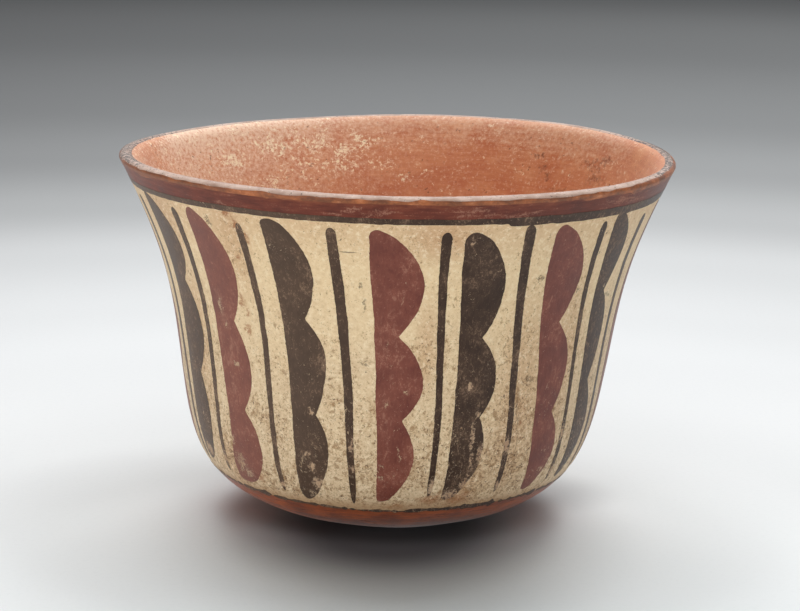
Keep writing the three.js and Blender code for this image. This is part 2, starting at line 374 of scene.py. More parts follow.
base_foot = 2.2 + 1.2 * round_the_bowl(angles, 23, 40)
base_top = place_at(base_line_height(angles) + 3)
ragged = 0.25 * round_the_bowl(angles, 21, 240) + 0.25 * round_the_bowl(angles, 22, 60)
cream_foot = place_at(base_line_height(angles)) + ragged
long_drips = np.clip(round_the_bowl(angles, 31, 90) - 0.35, 0, 1)
short_drips = np.clip(round_the_bowl(angles, 32, 200) - 0.5, 0, 1)
drips = 1.3 * long_drips + 0.9 * short_drips
strip_foot = place_at(BAND_TOP + 0.25 * round_the_bowl(angles, 33, 24)) - drips
strip_top = LIP_EDGE + 0.85 - 0.35 * np.cos(angles) + 0.9 * right_end
strip_top = strip_top + 0.4 * round_the_bowl(angles, 34, 150)
inside_top = crest_worn_to + 0.4 * round_the_bowl(angles, 41, 130)
print("the longest drip runs down", round(float(drips.max()), 1), "mm")

# %% The coats
BASE_DEPTHS = (-0.04, -0.11)
GROUND_DEPTHS = (0.02, -0.03)
BRUSHED_DEPTHS = (0.08, 0.03)
INSIDE_DEPTHS = (0.0, -0.11)

base_slip = ring(
    "burnished_base_slip", base_foot, base_top,
    BASE_DEPTHS, rows=44, node="base_slip",
)
cream_ground = ring(
    "brushed_cream_ground", cream_foot, level(place_at(RIM_LINE + 0.4)),
    GROUND_DEPTHS, rows=76, node="cream_ground",
)
rim_band = ring(
    "brushed_dark_red_rim_band", level(place_at(RIM_LINE + 0.45)), strip_foot + 0.6,
    GROUND_DEPTHS, rows=10, node="dark_red_rim_band",
)
lip_slip = ring(
    "brushed_lip_slip", strip_foot, strip_top,
    BRUSHED_DEPTHS, rows=12, node="lip_slip",
)
inside_slip = ring(
    "burnished_inside_slip", inside_top, level(FLOOR_MIDDLE),
    INSIDE_DEPTHS, rows=90, node="inside_slip",
)
coats = [base_slip, cream_ground, rim_band, lip_slip, inside_slip]
print("coats:", [(piece.name, len(piece.data.polygons)) for piece in coats])

# %% [markdown]
# ## The lines
# The line under the rim is one long pull of the brush that comes back round to its start, so it steps where
# the brush was filled again. The line at the foot is nearly dry, and much of it has rubbed away. It is
# built as the dashes that are left.

# %% The rim line
LINE_STEPS = 1440
REFILLED_FROM = 22.5
REFILLED_TO = 23.5


def ribbon(place, half_width, angle):
    """The grids of a thin mark along the wall, from its middle line and half its width, in mm."""
    rows = place + np.array([-1, -0.5, 0, 0.5, 1])[:, None] * half_width
    return np.stack([wall_point(rows, angle[None], depth) for depth in BRUSHED_DEPTHS])


line_angles = turn_angles(LINE_STEPS)
line_degrees = np.degrees(line_angles)
running_dry = 1 - 0.5 * ease(line_degrees, 60, 120)
after_refill = ease(line_degrees, REFILLED_FROM, REFILLED_TO) * running_dry
rim_top = RIM_LINE + 0.9 + 0.12 * round_the_bowl(line_angles, 51, 150) + 0.1 * after_refill
rim_foot = RIM_LINE - 0.8 + 0.14 * round_the_bowl(line_angles, 52, 220) - 0.75 * after_refill
rim_middle = place_at((rim_top + rim_foot) / 2)
rim_points = ribbon(rim_middle, (place_at(rim_top) - place_at(rim_foot)) / 2, line_angles)
rim_quads = skin_quads(5, LINE_STEPS, True)
rim_line = add_piece("brushed_black_rim_line", rim_points, rim_quads, ["black_rim_line"])
print("the rim line is", round(float((rim_top - rim_foot).max()), 1), "mm wide at most")

# %% The base line
GONE_BELOW = 0.12
SHORTEST_DASH = 3

dash_width = 0.52 + 0.6 * round_the_bowl(line_angles, 53, 300) + 0.35 * round_the_bowl(line_angles, 54, 36)
dash_width += 0.12 * np.cos(line_angles - np.radians(5))
dash_middle = place_at(base_line_height(line_angles)) + 0.2 * round_the_bowl(line_angles, 55, 90)
painted_here = dash_width > GONE_BELOW
dash_points = []
dash_quads = []
points_so_far = 0
for start in np.flatnonzero(painted_here & ~np.roll(painted_here, 1)):
    run = 1
    while painted_here[(start + run) % LINE_STEPS] and run < LINE_STEPS:
        run += 1
    steps = (start + np.arange(run)) % LINE_STEPS
    if run > SHORTEST_DASH:
        grids = ribbon(dash_middle[steps], dash_width[steps], line_angles[steps])
        dash_quads.append(skin_quads(5, run, False, points_so_far))
        dash_points.append(grids.reshape(-1, 3))
        points_so_far += grids[..., 0].size
base_line = add_piece(
    "brushed_black_base_line", np.vstack(dash_points), np.vstack(dash_quads), ["black_base_line"],
)
print("dashes of the base line:", len(dash_points))

# %% [markdown]
# ## The figures
# Each figure was outlined with one nearly straight side and three lobes, and then filled in. Its sides are
# read off as a few points: the straight side from the top down, and on the other side each lobe where it is
# widest and each notch between two lobes. A lobe swells like a parabola from notch to notch, which leaves
# the notch sharp, and both ends are rounded as the loaded brush left them.

# %% Sides of a figure
def smooth_through(points, height):
    """Runs a smooth curve through a few (height, degrees) points."""
    heights, degrees = np.array(sorted(points), float).T
    slopes = np.gradient(degrees, heights)
    at = np.clip(np.searchsorted(heights, height) - 1, 0, len(heights) - 2)
    span = heights[at + 1] - heights[at]
    t = np.clip((height - heights[at]) / span, 0, 1)
    eased = t * t * (3 - 2 * t)
    bend = t * (1 - t) * span * ((1 - t) * slopes[at] - t * slopes[at + 1])
    return degrees[at] * (1 - eased) + degrees[at + 1] * eased + bend


def scalloped(points, height):
    """The lobed side: (height, degrees) of end, lobe, notch, lobe, notch, lobe, end, from the top down."""
    side = np.empty_like(height)
    for i in range(len(points) - 1):
        lobe, other = (points[i], points[i + 1]) if i % 2 else (points[i + 1], points[i])
        low, high = sorted((lobe[0], other[0]))
        here = (height >= low) & (height <= high)
        part = np.abs(height[here] - lobe[0]) / (high - low)
        side[here] = lobe[1] + (other[1] - lobe[1]) * part**2
    return side


print("halfway from an end at 0 to a lobe at 8 degrees:", scalloped([(10, 0), (0, 8)], np.array([5.0])))

# %% [markdown]
# The paint stops in a slightly ragged line, because it was brushed over a dry, grainy ground. The fine
# wander of the edge is added in millimetres, so it looks the same at every height of the wall.

# %% One brush mark of any outline
EDGE_GRAIN = 0.1
EDGE_GRAIN_PACE = 0.5
EDGE_WANDER = 0.14
EDGE_WANDER_PACE = 4.0
LEAST_DEGREES = 0.03


def edge_degrees(height, seed):
    grain = EDGE_GRAIN * wander(height / EDGE_GRAIN_PACE, seed)
    grain = grain + EDGE_WANDER * wander(height / EDGE_WANDER_PACE, seed + 1)
    return np.degrees(grain / radius_at(height))


def rounded_end(height, end, reach):
    """How much of its full width a mark has near an end: a half round over the last reach mm."""
    left = np.clip(np.abs(height - end) / reach, 0, 1)
    return np.sqrt(1 - (1 - left) ** 2)


def brush_mark(name, height, left, right, tips, seed, columns, node):
    """A filled outline. tips gives at each end its height, its angle and how far its rounding reaches."""
    left = left + edge_degrees(height, seed)
    right = right + edge_degrees(height, seed + 2)
    for end, degrees, reach in tips:
        width = rounded_end(height, end, reach)
        left = degrees + (left - degrees) * width
        right = degrees + (right - degrees) * width
    right = np.maximum(right, left + LEAST_DEGREES)
    share = np.linspace(0, 1, columns)
    angle = np.radians(left[:, None] * (1 - share) + right[:, None] * share)
    grids = [wall_point(place_at(height)[:, None], angle, depth) for depth in BRUSHED_DEPTHS]
    return add_piece(name, np.stack(grids), skin_quads(len(height), columns, False), [node])


def mark_heights(foot, top, rows):
    """Heights from foot to top that crowd at the ends, where the outline turns most."""
    return (foot + top) / 2 - (top - foot) / 2 * np.cos(np.linspace(0, np.pi, rows))


wandering = edge_degrees(np.linspace(30, 50, 200), 1)
print("a painted edge wanders over", round(float(np.ptp(wandering)), 2), "degrees")

# %% [markdown]
# The seven figures that face the front are each a little different, as the painter's hand left them.
# Heights are in millimetres above the floor and angles in degrees round from the front. top and foot give
# each end's height, its angle and how far its rounding reaches.

# %% The figures and stripes at the front
front_figures = [
    dict(
        side=[(98, -67), (60, -66.8), (21.5, -67.5)],
        lobes=[
            (101.8, -64.6), (86, -57.1), (76.5, -60.8), (61, -56.1),
            (49, -59.9), (36.5, -57.5), (20.5, -63),
        ],
        top=(101.8, -66, 2), foot=(20.5, -66, 3),
        stripe=[(99.6, -53.9), (85, -53.8), (60, -53.1), (40, -53.1), (28, -53.7), (19.5, -54.5)],
        spread=(1.12, 0.9, 0.82),
    ),
    dict(
        side=[(97, -49.3), (80, -49.2), (60, -49), (50, -48.4), (32, -48), (24, -49.4), (18, -50)],
        lobes=[
            (100.9, -46), (81.5, -38.9), (67.8, -42.3), (52.4, -38.2),
            (41.4, -41.5), (29, -37.1), (17.8, -43.5),
        ],
        top=(100.9, -47.4, 3.5), foot=(17.8, -46.5, 1.5),
        stripe=[(98.5, -34.3), (85, -33.9), (69, -33.1), (47, -32.6), (17.9, -31.9)],
        spread=(0.93, 0.83, 0.8),
    ),
    dict(
        side=[
            (99.5, -28.5), (85.6, -28), (72, -27.4), (63.6, -26.8),
            (53, -26.4), (40, -26.1), (22, -26.2),
        ],
        lobes=[
            (101.1, -24.7), (84, -18.4), (71.8, -21.4), (59.5, -16.6),
            (43.5, -19.5), (33, -16.4), (16.3, -22.3),
        ],
        top=(101.1, -26.4, 1.6), foot=(16.3, -24.2, 3),
        stripe=[(100, -13.2), (86, -12.8), (69, -12), (53, -11.1), (40, -10.7), (27, -10.2), (16.5, -10)],
        spread=(1.22, 1.12, 0.88),
    ),
    dict(
        side=[
            (98, -5.4), (86, -5.4), (79, -5), (66, -4.5),
            (50, -4.1), (40, -3.6), (30, -3.4), (18, -3.4),
        ],
        lobes=[(100, -2.2), (82.7, 6.4), (68.3, 1.1), (54.2, 7.3), (43.2, 2.6), (31.3, 6.2), (17.6, -0.6)],
        top=(100, -3.7, 2.5), foot=(17.6, -2.2, 0.9),
        stripe=[(99.5, 10.4), (86, 10.5), (73, 10.9), (60, 11.3), (47, 11.7), (22, 11.7), (19, 11.7)],
        spread=(1.12, 0.84, 0.85),
    ),
    dict(
        side=[(96.6, 14.3), (89, 14.4), (82, 14.8), (73, 15.4), (63, 15.7), (50, 15.8), (18.3, 15.6)],
        lobes=[(99.4, 18.4), (81, 25.2), (67.5, 21.4), (54.5, 26.3), (43.7, 22.9), (34, 25), (17.8, 18.6)],
        top=(99.4, 16.3, 3.2), foot=(17.8, 17, 0.9),
        stripe=[(101, 28.1), (91, 28.9), (80, 29.8), (62, 31.1), (50, 31.6), (40, 32.2), (19, 32.4)],
        spread=(1.22, 1.02, 0.78),
    ),
    dict(
        side=[
            (97, 34.9), (89, 35.4), (79, 36.2), (69, 37.3),
            (62, 38.2), (53, 39.1), (37, 40.4), (18, 42.8),
        ],
        lobes=[(100.2, 38), (82.4, 46.9), (69.7, 43.4), (56, 49.3), (42.2, 46.3), (30, 50.6), (17.7, 46)],
        top=(100.2, 36.7, 3), foot=(17.7, 44.5, 1.2),
        stripe=[(99.5, 48.6), (91, 49.4), (79, 50.5), (70, 51.3), (50, 52.4), (31, 53.4), (19, 54.3)],
        spread=(0.98, 0.8, 0.82),
    ),
    dict(
        side=[
            (98, 52.2), (90, 53.5), (80, 54.8), (70, 55.8),
            (60, 56.5), (50, 57.1), (40, 57.7), (21, 59),
        ],
        lobes=[(101.3, 54.8), (88, 61.8), (76.5, 59.6), (63, 64.7), (48.7, 61.7), (35, 66.2), (18.5, 61.5)],
        top=(101.3, 53.2, 0.8), foot=(18.5, 60, 2),
        stripe=[(98.5, 66.4), (86, 67.1), (70, 68.5), (50, 69), (30, 70), (19, 69.8)],
        spread=(1.15, 0.95, 0.95),
    ),
]
print("figures at the front:", len(front_figures))

# %% [markdown]
# Round the back nothing is known but the rhythm, so the other eleven share what is left of the turn, each
# one the usual figure with a little wander in its place and its lobes. Lobes and notches are given by how
# far they reach from the straight side, in degrees, and by their level in hundredths of the painted height.

# %% The figures and stripes round the back
FIGURE_COUNT = 18
USUAL_REACH = np.array([10, 5.9, 10.2, 6.4, 9.4])
USUAL_LEVEL = np.array([80, 65, 49, 34, 20])
USUAL_LEAN = 2.0
USUAL_STRIPE_TURN = 4.4
USUAL_SPREAD = (1.1, 0.93, 0.85)
WANDER_PACE = 2.3
PLACE_VARIATION = 1.2
REACH_VARIATION = 0.4
LEVEL_VARIATION = 1.5
FIGURE_TOP = 100.3
FIGURE_FOOT = 17.9
GROUND_TOP = 101.6
GROUND_FOOT = 15.55
MIDDLE_HEIGHT = 60
STRIPE_TOP = 99.4
STRIPE_FOOT = 19
FIRST_BACK = 55.5
LAST_BACK = 293.0


def back_figure(number, gaps):
    """A figure and its stripe. number counts the gaps from the last figure at the front."""
    def hand(trait):
        return np.sin(number * WANDER_PACE + trait)

    middle = FIRST_BACK + (LAST_BACK - FIRST_BACK) * number / gaps
    top = middle - USUAL_LEAN / 2 + PLACE_VARIATION * hand(0)
    foot = middle + USUAL_LEAN / 2 + PLACE_VARIATION * hand(1)
    halfway = (top + foot) / 2
    clear = USUAL_REACH.max() + USUAL_STRIPE_TURN
    levels = USUAL_LEVEL + LEVEL_VARIATION * hand(np.arange(5))
    heights = GROUND_FOOT + (GROUND_TOP - GROUND_FOOT) * levels / 100
    lean = np.interp(heights, [FIGURE_FOOT, FIGURE_TOP], [foot, top])
    reaches = lean + USUAL_REACH + REACH_VARIATION * hand(np.arange(5))
    return dict(
        side=[(FIGURE_TOP, top), (MIDDLE_HEIGHT, halfway + 0.4 * hand(3)), (FIGURE_FOOT, foot)],
        lobes=[(FIGURE_TOP, top + 2.6), *zip(heights, reaches), (FIGURE_FOOT, foot + 3)],
        top=(FIGURE_TOP, top + 1.2, 3),
        foot=(FIGURE_FOOT, foot + 1.3, 2),
        stripe=[
            (STRIPE_TOP, top + clear),
            (MIDDLE_HEIGHT, halfway + clear + 0.3 * hand(2)),
            (STRIPE_FOOT, foot + clear),
        ],
        spread=USUAL_SPREAD,
    )


back_count = FIGURE_COUNT - len(front_figures)
back_figures = [back_figure(number, back_count + 1) for number in range(1, back_count + 1)]
figures = front_figures + back_figures
print("figures round the back:", back_count)

# %% [markdown]
# A stripe is a single pull of the brush: it lands broad, and thins as the brush runs dry and lifts. Its
# spread is half its width in degrees near its top, at its middle and near its foot.

# %% Paint the figures and the stripes
FIGURE_ROWS = 220
STRIPE_ROWS = 200
SPREAD_HEIGHTS = (97, 60, 22)
SPREAD_VARIATION = 0.07
SPREAD_PACE = 9
STRIPE_TIP = 2.4
black_paint = [rim_line, base_line]
red_paint = []

for i, shape in enumerate(figures):
    is_black = i % 2 == 0
    node = f"{'black' if is_black else 'red'}_figure_{i // 2 + 1}"
    heights = mark_heights(shape["foot"][0], shape["top"][0], FIGURE_ROWS)
    side = smooth_through(shape["side"], heights)
    lobes = scalloped(shape["lobes"], heights)
    figure = brush_mark(
        f"painted_{node}", heights, side, lobes, (shape["top"], shape["foot"]),
        seed=100 + 10 * i, columns=15, node=node,
    )
    (black_paint if is_black else red_paint).append(figure)

    node = f"black_stripe_{i + 1}"
    top = shape["stripe"][0]
    foot = shape["stripe"][-1]
    heights = mark_heights(foot[0], top[0], STRIPE_ROWS)
    middle = smooth_through(shape["stripe"], heights)
    spread = smooth_through(list(zip(SPREAD_HEIGHTS, shape["spread"])), heights)
    half = spread * (1 + SPREAD_VARIATION * wander(heights / SPREAD_PACE, 300 + i))
    tips = [(*top, STRIPE_TIP), (*foot, 2 * STRIPE_TIP)]
    stripe = brush_mark(
        f"painted_{node}", heights, middle - half, middle + half, tips,
        seed=400 + 10 * i, columns=5, node=node,
    )
    black_paint.append(stripe)
print("painted pieces:", len(black_paint) + len(red_paint))

# %% [markdown]
# ## Finishes
# A finish is a sum of simple masks: mottling, specks, flakes, streaks. Written as nodes by hand it is a
# maze, so one small class wraps a socket and lets it stand in an ordinary expression. Adding or multiplying
# sockets adds Math nodes. Colours and vectors would turn grey in those, so they go through Mix and Vector
# Math. Every node comes from the one method called node, which sets what kind of work the node does before
# it fills in its sockets.

# %% A socket that can stand in an expression
def fill_ramp(ramp, stops):
    """Gives a colour ramp its stops, (place, colour) from place 0 to place 1, eased between them."""
    ramp.interpolation = "EASE"
    for place, _ in stops[1:-1]:
        ramp.elements.new(place)
    for stop, (_, colour) in zip(ramp.elements, stops):
        stop.color = colour


class Socket:
    """An output of a node, for use in expressions. A tree without nodes yet stands in for the first one."""

    def __init__(self, output):
        self.output = output

    def node(self, kind, settings=None, sockets=None, output=0):
        """Adds a node of any kind: its settings first, then the values or links of its sockets."""
        node = self.output.id_data.nodes.new(kind)
        for name, value in (settings or {}).items():
            if name == "stops":
                fill_ramp(node.color_ramp, value)
            else:
                setattr(node, name, value)
        for name, value in (sockets or {}).items():
            if isinstance(value, Socket):
                node.id_data.links.new(value.output, node.inputs[name])
            else:
                node.inputs[name].default_value = value
        return Socket(node.outputs[output]) if node.outputs else None

    def math(self, operation, first, second=0.0):
        return self.node("ShaderNodeMath", {"operation": operation}, {0: first, 1: second})

    def vector(self, operation, second=(0, 0, 0), output=0):
        return self.node("ShaderNodeVectorMath", {"operation": operation}, {0: self, 1: second}, output)

    def __add__(self, other):
        return self.math("ADD", self, other)

    def __sub__(self, other):
        return self.math("SUBTRACT", self, other)

    def __rsub__(self, other):
        return self.math("SUBTRACT", other, self)

    def __mul__(self, other):
        return self.math("MULTIPLY", self, other)

    __radd__ = __add__
    __rmul__ = __mul__

    def __abs__(self):
        return self.math("ABSOLUTE", self)

    def step(self, low, high):
        """0 where this is at low, 1 at high, eased between; low may be the larger."""
        limits = {"Value": self, "From Min": low, "From Max": high}
        return self.node("ShaderNodeMapRange", {"interpolation_type": "SMOOTHSTEP"}, limits)

    def or_more(self, other):
        return self.math("MAXIMUM", self, other)

    def length(self):
        return self.vector("LENGTH", output="Value")


def mix(first, second, share):
    """A colour that goes from the first to the second as share goes from 0 to 1."""
    return share.node("ShaderNodeMix", {"data_type": "RGBA"}, {0: share, 6: first, 7: second}, 2)


def shade(red, green, blue):
    """A colour given as it is seen, 0 to 255, as the linear colour that a shader needs."""
    seen = np.array([red, green, blue]) / 255
    linear = np.where(seen <= 0.04045, seen / 12.92, ((seen + 0.055) / 1.055) ** 2.4)
    return (*linear.tolist(), 1.0)


print("a grey seen as 128 of 255 is", round(shade(128, 128, 128)[0], 3), "in a shader")

# %% [markdown]
# Every pattern is measured in millimetres on the bowl itself, so it stays at the right size and fixed to
# the clay. A noise gives grain and mottling. The same noise squeezed in one direction gives streaks, as
# from a burnishing stone or a brush. Named marks are soft ovals at a place on the wall, with their outlines
# roughened.

# %% Points and noises
PICTURE_WIDTH = 800


def noise(point, size, detail, roughness=0.55, distortion=0.0, output=0):
    look = {"Vector": point, "Scale": 1 / size, "Detail": detail}
    look.update({"Roughness": roughness, "Distortion": distortion})
    return point.node("ShaderNodeTexNoise", None, look, output)


def drawn_out(point, x, y, z):
    """The same point in a space where a pattern is as many times longer along each axis."""
    return point.vector("MULTIPLY", (1 / x, 1 / y, 1 / z))


def along(point, axis):
    return point.node("ShaderNodeSeparateXYZ", None, {"Vector": point}, axis)


def across(point):
    """How far right a point is, in mm. A mask made from it has no seam, as one made from degrees has."""
    return along(point, "X")


def height_of(point):
    return along(point, "Z")


def turn_of(point, side=1):
    """Degrees round the bowl, from the front where side is 1 and from the back where it is -1."""
    return point.math("ARCTAN2", across(point), along(point, "Y") * -side) * (180 / np.pi)


def wall_place(point, side=1):
    """A place on the wall, to put marks at: degrees round the bowl and height."""
    return point.node("ShaderNodeCombineXYZ", None, {"X": turn_of(point, side), "Y": height_of(point)})


pixel = DISTANCE * SENSOR_WIDTH / LENS / PICTURE_WIDTH
print("one pixel covers", round(pixel / MM, 2), "mm of the bowl, and finer grain than that won't show")

# %% Crumbs and marks
CRUMB_EDGE = (0.6, 0.65)


def roughened(wall, point, size, reach):
    """Shifts wall places by a noise, so that what is drawn on them gets uneven outlines."""
    jitter = noise(point, size, 3, 0.65, output="Color").vector("SUBTRACT", (0.5, 0.5, 0.5))
    return wall.vector("ADD", jitter.vector("MULTIPLY", (reach, reach, 0)))


def crumbs(point, size, crowd):
    """A mask of crisp, ragged crumbs about size mm wide. They cover more where crowd is higher."""
    return (noise(point, size, 4, 0.75) + crowd).step(*CRUMB_EDGE)


def marks(wall, ovals, solid=0.5):
    """A mask of soft ovals, each (degrees, height, half width in degrees, half height in mm)."""
    mask = 0.0
    for degrees, height, half_width, half_height in ovals:
        offset = wall.vector("SUBTRACT", (degrees, height, 0))
        offset = offset.vector("MULTIPLY", (1 / half_width, 1 / half_height, 0))
        mask = offset.length().step(1, solid).or_more(mask)
    return mask


print("crumbs are crisp: their edge takes", round(CRUMB_EDGE[1] - CRUMB_EDGE[0], 2), "of the noise")

# %% [markdown]
# All finishes here are the same kind of surface, fired slip or clay: some relief, a little sheen at the
# edges, and no metal or glass. So one function makes the shader, and another one gives it to its pieces.

# %% From a colour and a relief to a finish
SHEEN_ROUGHNESS = 0.4


def new_finish(name):
    material = bpy.data.materials.new(name)
    material.use_nodes = True
    material.node_tree.nodes.clear()
    metres = Socket(material.node_tree).node("ShaderNodeTexCoord", output="Object")
    return material, metres.vector("MULTIPLY", (1 / MM, 1 / MM, 1 / MM))


def relief(height, depth, normal=None):
    """A bump as deep as depth in mm, where height goes from 0 to 1."""
    sockets = {"Height": height, "Distance": depth * MM, "Strength": 1.0}
    if normal:
        sockets["Normal"] = normal
    return height.node("ShaderNodeBump", None, sockets)


def fired(colour, roughness, normal, specular, sheen=0.16):
    surface = {"Base Color": colour, "Roughness": roughness, "Normal": normal}
    surface["Specular IOR Level"] = specular
    surface.update({"Sheen Weight": sheen, "Sheen Roughness": SHEEN_ROUGHNESS})
    shader = colour.node("ShaderNodeBsdfPrincipled", None, surface)
    shader.node("ShaderNodeOutputMaterial", None, {"Surface": shader})


def put_on(finish, *pieces):
    for piece in pieces:
        piece.data.materials.append(finish)
    print(finish.name, "has", len(finish.node_tree.nodes), "nodes and is on", len(pieces), "pieces")


# %% [markdown]
# ### Cream ground
# The cream is a chalky slip, yellower near the rim, tan just under the band, and darker and greyer lower
# down. Handling and soil have pressed dark flecks into it, which crowd towards the foot and lie in drifts.
# Browner smudges lie under them, and a few larger stains have their own places. The same cream shows
# wherever paint has flaked off, so it is a function that the paints use too.

# %% Colours and stains of the cream
CREAM_TOP = shade(233, 206, 163)
CREAM_LOW = shade(218, 193, 157)
CREAM_TAN = shade(204, 164, 124)
CREAM_PALE = shade(242, 222, 188)
CREAM_DULL = shade(192, 162, 124)
SMUDGE = shade(176, 136, 96)
BROWN_CRUMB = shade(142, 104, 64)
DARK_CRUMB = shade(92, 60, 34)
RUST_STAIN = shade(158, 98, 56)
DARK_STAIN = shade(94, 72, 48)

soiled_places = [
    (34, 48, 12, 50), (-37, 90, 7, 22), (10, 97, 12, 10), (48, 60, 8, 40), (8, 66, 4, 20),
    (-58, 60, 10, 40), (-60, 92, 12, 16), (-52, 24, 12, 14), (22, 25, 8, 14),
]
rust_stains = [
    (-36.3, 101.5, 1.6, 2.5), (-34.8, 98, 1.5, 3.5), (-33, 94.5, 1.2, 3), (-36.4, 87.6, 0.9, 1.4),
    (-35.6, 83, 0.5, 0.9), (-38.3, 74.5, 1.4, 2.8), (-36.8, 71.5, 1.1, 2), (12, 18, 6, 2.4),
    (20, 17.6, 7, 2.6), (22, 19.5, 3, 2), (-40, 20.5, 2.4, 2.2), (35.9, 44.7, 0.7, 0.9),
    (35.8, 40.6, 0.8, 0.9), (1.5, 15.8, 6, 0.9), (-37.5, 66, 1.2, 3), (-62, 50, 1.5, 6),
]
dark_stains = [
    (-42.6, 98, 1.1, 2.2), (-6.6, 77, 0.6, 2.8), (-7.4, 83.3, 0.5, 1.2), (36.3, 53.3, 2.2, 2),
    (34.9, 84, 1.3, 1.5), (51.2, 95.7, 0.7, 1.2), (51.6, 89.5, 0.9, 0.9), (48.3, 78.7, 1.1, 0.8),
    (-6.6, 60.2, 1.8, 1), (-15.3, 55, 0.7, 1.2), (62.5, 74.4, 3, 0.8), (63.5, 48.8, 2.6, 0.8),
    (-11, 96.6, 0.4, 0.6), (-16, 95.4, 0.5, 0.5), (-24, 91.5, 0.5, 0.8), (-35.4, 90, 0.5, 1.2),
]
hairlines = [(-9.8, 93.1, 2.3, 0.25), (33.6, 47, 0.13, 4), (34.6, 41, 0.12, 4), (35.4, 34.5, 0.11, 4.5)]
print("stains on the cream:", len(rust_stains) + len(dark_stains))


# %% The cream
def cream_colour(point):
    wall = wall_place(point)
    height = height_of(point)
    lower = height.step(96, 22)
    uneven_wall = roughened(wall, point, 1.6, 5)
    soiled = marks(wall, soiled_places, 0.0)
    colour = mix(CREAM_TOP, CREAM_LOW, lower + (noise(point, 16, 3) - 0.5) * 0.9)
    mottle = noise(point, 1.5, 6, 0.78)
    colour = mix(colour, CREAM_TAN, height.step(86, 102) * 0.45 + soiled * 0.6 + (mottle - 0.5) * 0.8)
    colour = mix(colour, CREAM_PALE, mottle.step(0.5, 0.34) * 0.8)
    colour = mix(colour, CREAM_DULL, mottle.step(0.5, 0.66) * (0.22 + 0.32 * lower))
    drifts = noise(point, 9, 4, 0.6)
    smudge = (noise(point, 2.6, 5, 0.75) + (drifts - 0.5) * 0.5).step(0.5, 0.72)
    colour = mix(colour, SMUDGE, smudge * (0.14 + 0.3 * lower))
    ragged_stain = noise(point, 0.8, 4, 0.7)
    rust = marks(uneven_wall, rust_stains, 0.1) * ragged_stain.step(0.3, 0.52)
    colour = mix(colour, RUST_STAIN, rust * 0.85)
    dark = marks(uneven_wall, dark_stains, 0.3) * ragged_stain.step(0.4, 0.56)
    colour = mix(colour, DARK_STAIN, dark * 0.8)
    crowd = (lower - 0.5) * 0.09 + (drifts - 0.5) * 0.22 + soiled * 0.03
    colour = mix(colour, BROWN_CRUMB, crumbs(point, 0.6, crowd * 0.7 + 0.03) * 0.5)
    colour = mix(colour, BROWN_CRUMB, crumbs(drawn_out(point, 1, 1, 1.4), 1.3, crowd + 0.025) * 0.62)
    colour = mix(colour, DARK_CRUMB, crumbs(point, 0.95, crowd - 0.035) * 0.85)
    stained_edge = (height + (mottle - 0.5) * 4).step(18.5, 14.8)
    colour = mix(colour, SMUDGE, stained_edge * 0.7)
    return mix(colour, DARK_STAIN, marks(roughened(wall, point, 3, 0.5), hairlines, 0.5) * 0.7)


cream_finish, point = new_finish("worn_cream_slip")
chalk = noise(point, 0.6, 4, 0.7)
uneven = relief(noise(point, 5, 3), 0.12, relief(chalk, 0.09))
fired(cream_colour(point), 0.62 + 0.3 * (chalk - 0.5), uneven, 0.3)
put_on(cream_finish, cream_ground)

# %% [markdown]
# ### Black and dark red paint
# Both paints are slips too, burnished enough to take a grey sheen where they are seen edge on. The brush
# left faint upright streaks, and dust sits in the pores. Towards the left the dust colour is also laid on as
# a painted sheen. The paint has flaked in pinholes, more towards the foot, and rubbed through to the ground
# in some places, each named here by where it is.

# %% How a paint wears
RUBBED_PINK = shade(186, 150, 122)


def paint_flakes(point, ovals, ease_off):
    """Where paint is gone: pinholes everywhere, more near the foot, and the rubbed places."""
    rubbed = marks(roughened(wall_place(point), point, 1.2, 3), ovals, 0.0)
    crowd = height_of(point).step(80, 16) * 0.065 + rubbed * 0.2 + (noise(point, 7, 4, 0.6) - 0.5) * 0.3
    grain = noise(drawn_out(point, 1, 1, 1.5), 0.8, 6, 0.8, 0.6) + crowd
    return grain.step(0.64 + ease_off, 0.69 + ease_off), rubbed


def painted(name, colours, ovals, ease_off, specular):
    finish, point = new_finish(name)
    deep, light, dust_and_sheen = colours
    strokes = noise(drawn_out(point, 1, 1, 12), 0.7, 4, 0.7)
    cloud = noise(point, 8, 5, 0.65)
    colour = mix(deep, light, (cloud - 0.5) * 2.6 + 0.5 + (strokes - 0.5) * 1.6)
    wisps = noise(drawn_out(point, 1, 1, 2), 1.6, 5, 0.75, 1.5) + (cloud - 0.5) * 0.5
    # Towards the left the dust colour also stands in as a painted sheen.
    colour = mix(colour, dust_and_sheen, wisps.step(0.52, 0.72) * 0.6 + across(point).step(10, -38) * 0.16)
    colour = mix(colour, dust_and_sheen, crumbs(point, 0.7, (cloud - 0.5) * 0.4) * 0.5)
    flakes, rubbed = paint_flakes(point, ovals, ease_off)
    colour = mix(colour, RUBBED_PINK, rubbed * strokes.step(0.3, 0.75) * 0.5)
    ground = mix(cream_colour(point), RUBBED_PINK, rubbed * 0.45 + 0.25)
    surface = relief(strokes, 0.04, relief(1 - flakes, 0.06))
    roughness = 0.5 + 0.2 * flakes + 0.35 * (cloud - 0.5) + 0.15 * (wisps - 0.5)
    fired(mix(colour, ground, flakes * 0.85), roughness, surface, specular)
    return finish


# %% The black paint
BLACK_BROWN = shade(52, 34, 23)
BLACK = shade(75, 55, 42)
BLACK_DUST_AND_SHEEN = shade(146, 118, 94)

